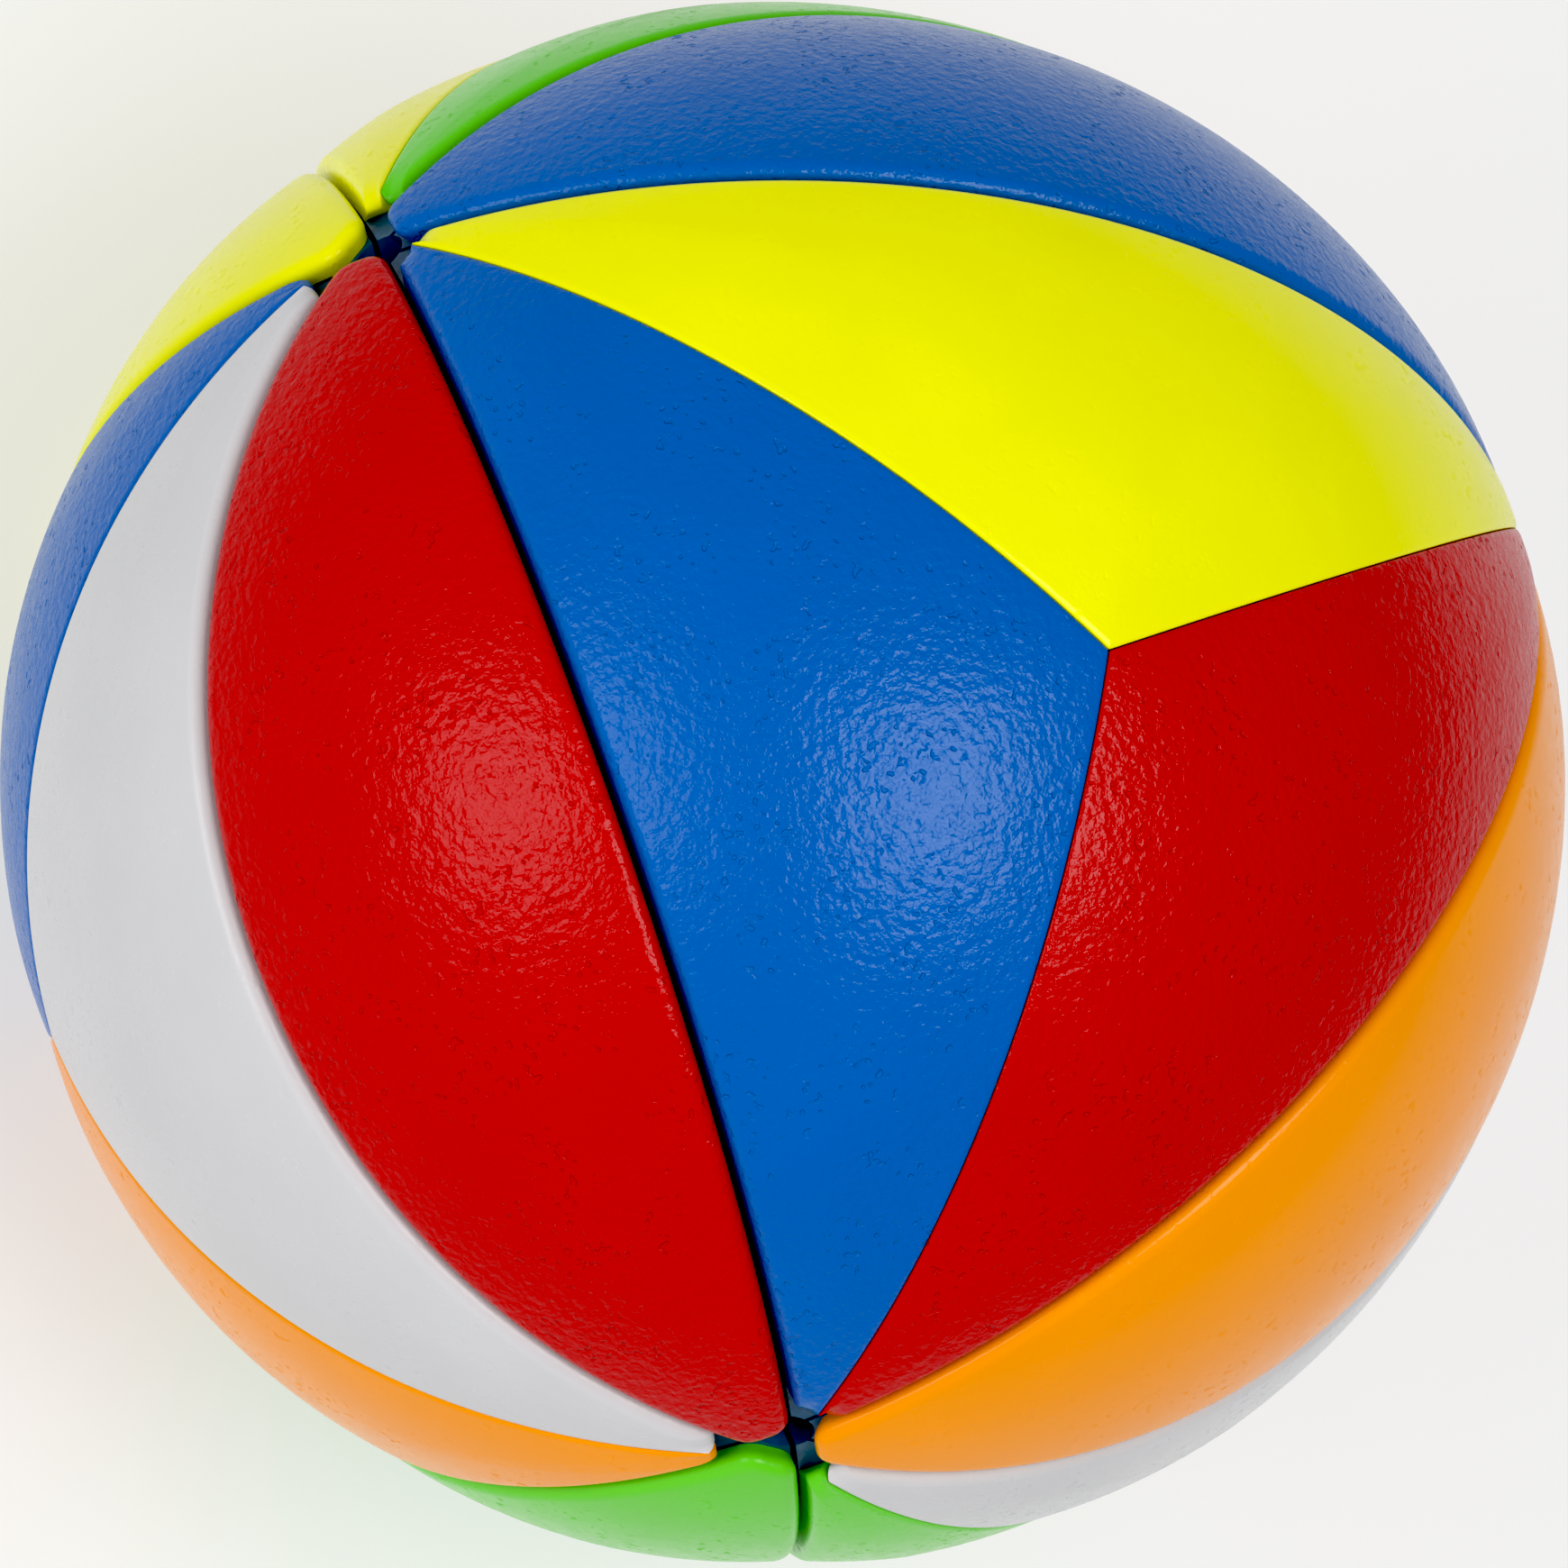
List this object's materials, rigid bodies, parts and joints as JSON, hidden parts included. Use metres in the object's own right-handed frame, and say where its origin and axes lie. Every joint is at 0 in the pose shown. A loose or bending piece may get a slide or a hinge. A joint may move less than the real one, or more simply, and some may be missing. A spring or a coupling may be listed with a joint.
{
  "type": "ball twisty puzzle",
  "caption": "Ball-shaped twisty puzzle with four turning axes: three-colour corner pieces and leaf-shaped one-colour edge pieces on a hidden hub.",
  "frame": {"origin": "the centre of the ball, where the four turning axes meet", "axes": "+Z along the turning axis of the top corner; -Y is the side of the front corner, whose axis points 19.5 degrees below it; +X completes a right-handed frame"},
  "size_m": [0.07, 0.07, 0.07],
  "materials": {
    "red_plastic": "moulded, satin with a fine orange-peel texture",
    "blue_plastic": "moulded, satin with a fine orange-peel texture",
    "yellow_plastic": "moulded, satin with a fine orange-peel texture",
    "white_plastic": "moulded, satin with a fine orange-peel texture",
    "orange_plastic": "moulded, satin with a fine orange-peel texture",
    "green_plastic": "moulded, satin with a fine orange-peel texture",
    "dark_plastic": "moulded, dark blue",
    "core_plastic": "moulded, dark blue",
    "steel": "zinc plated",
    "brass": "turned"
  },
  "bodies": {
    "core": {"hub_upper_half": "core_plastic", "hub_lower_half": "core_plastic", "insert_top": "brass", "washer_top": "steel", "screw_top": "steel", "spring_top": "steel", "insert_front": "brass", "washer_front": "steel", "screw_front": "steel", "spring_front": "steel", "insert_right": "brass", "washer_right": "steel", "screw_right": "steel", "spring_right": "steel", "insert_left": "brass", "washer_left": "steel", "screw_left": "steel", "spring_left": "steel"},
    "corner_top": {"corner_top_body": "dark_plastic", "corner_top_panel_front": "blue_plastic", "corner_top_panel_right": "red_plastic", "corner_top_panel_left": "yellow_plastic"},
    "corner_front": {"corner_front_body": "dark_plastic", "corner_front_panel_top": "white_plastic", "corner_front_panel_right": "orange_plastic", "corner_front_panel_left": "blue_plastic"},
    "corner_right": {"corner_right_body": "dark_plastic", "corner_right_panel_top": "white_plastic", "corner_right_panel_front": "green_plastic", "corner_right_panel_left": "red_plastic"},
    "corner_left": {"corner_left_body": "dark_plastic", "corner_left_panel_top": "green_plastic", "corner_left_panel_front": "yellow_plastic", "corner_left_panel_right": "orange_plastic"},
    "edge_top_front": {"edge_top_front_body": "dark_plastic", "edge_top_front_panel": "red_plastic"},
    "edge_top_right": {"edge_top_right_body": "dark_plastic", "edge_top_right_panel": "orange_plastic"},
    "edge_top_left": {"edge_top_left_body": "dark_plastic", "edge_top_left_panel": "blue_plastic"},
    "edge_front_right": {"edge_front_right_body": "dark_plastic", "edge_front_right_panel": "green_plastic"},
    "edge_front_left": {"edge_front_left_body": "dark_plastic", "edge_front_left_panel": "yellow_plastic"},
    "edge_right_left": {"edge_right_left_body": "dark_plastic", "edge_right_left_panel": "white_plastic"}
  },
  "joints": [
    {"name": "turn_top", "type": "hinge", "parent": "core", "child": "corner_top", "pos_m": [0, 0, 0], "axis": [0, 0, 1], "continuous": true},
    {"name": "turn_front", "type": "hinge", "parent": "core", "child": "corner_front", "pos_m": [0, 0, 0], "axis": [0, -0.9428, -0.3333], "range_deg": [-360, 360]},
    {"name": "turn_right", "type": "hinge", "parent": "core", "child": "corner_right", "pos_m": [0, 0, 0], "axis": [0.8165, 0.4714, -0.3333], "range_deg": [-360, 360]},
    {"name": "turn_left", "type": "hinge", "parent": "core", "child": "corner_left", "pos_m": [0, 0, 0], "axis": [-0.8165, 0.4714, -0.3333], "range_deg": [-360, 360]},
    {"name": "edge_top_front_turn", "type": "hinge", "parent": "corner_top", "child": "edge_top_front", "pos_m": [0, 0, 0], "axis": [0, -0.9428, -0.3333], "range_deg": [-360, 360]},
    {"name": "edge_top_right_turn", "type": "hinge", "parent": "corner_top", "child": "edge_top_right", "pos_m": [0, 0, 0], "axis": [0.8165, 0.4714, -0.3333], "range_deg": [-360, 360]},
    {"name": "edge_top_left_turn", "type": "hinge", "parent": "corner_top", "child": "edge_top_left", "pos_m": [0, 0, 0], "axis": [-0.8165, 0.4714, -0.3333], "range_deg": [-360, 360]},
    {"name": "edge_front_right_turn", "type": "hinge", "parent": "corner_front", "child": "edge_front_right", "pos_m": [0, 0, 0], "axis": [0.8165, 0.4714, -0.3333], "range_deg": [-360, 360]},
    {"name": "edge_front_left_turn", "type": "hinge", "parent": "corner_left", "child": "edge_front_left", "pos_m": [0, 0, 0], "axis": [0, -0.9428, -0.3333], "range_deg": [-360, 360]},
    {"name": "edge_right_left_turn", "type": "hinge", "parent": "corner_right", "child": "edge_right_left", "pos_m": [0, 0, 0], "axis": [-0.8165, 0.4714, -0.3333], "range_deg": [-360, 360]}
  ],
  "couplings": [
    {"joint": "edge_top_front_turn", "follows": "turn_front", "ratio": 1},
    {"joint": "edge_top_right_turn", "follows": "turn_right", "ratio": 1},
    {"joint": "edge_top_left_turn", "follows": "turn_left", "ratio": 1},
    {"joint": "edge_front_right_turn", "follows": "turn_right", "ratio": 1},
    {"joint": "edge_front_left_turn", "follows": "turn_front", "ratio": 1},
    {"joint": "edge_right_left_turn", "follows": "turn_left", "ratio": 1}
  ]
}
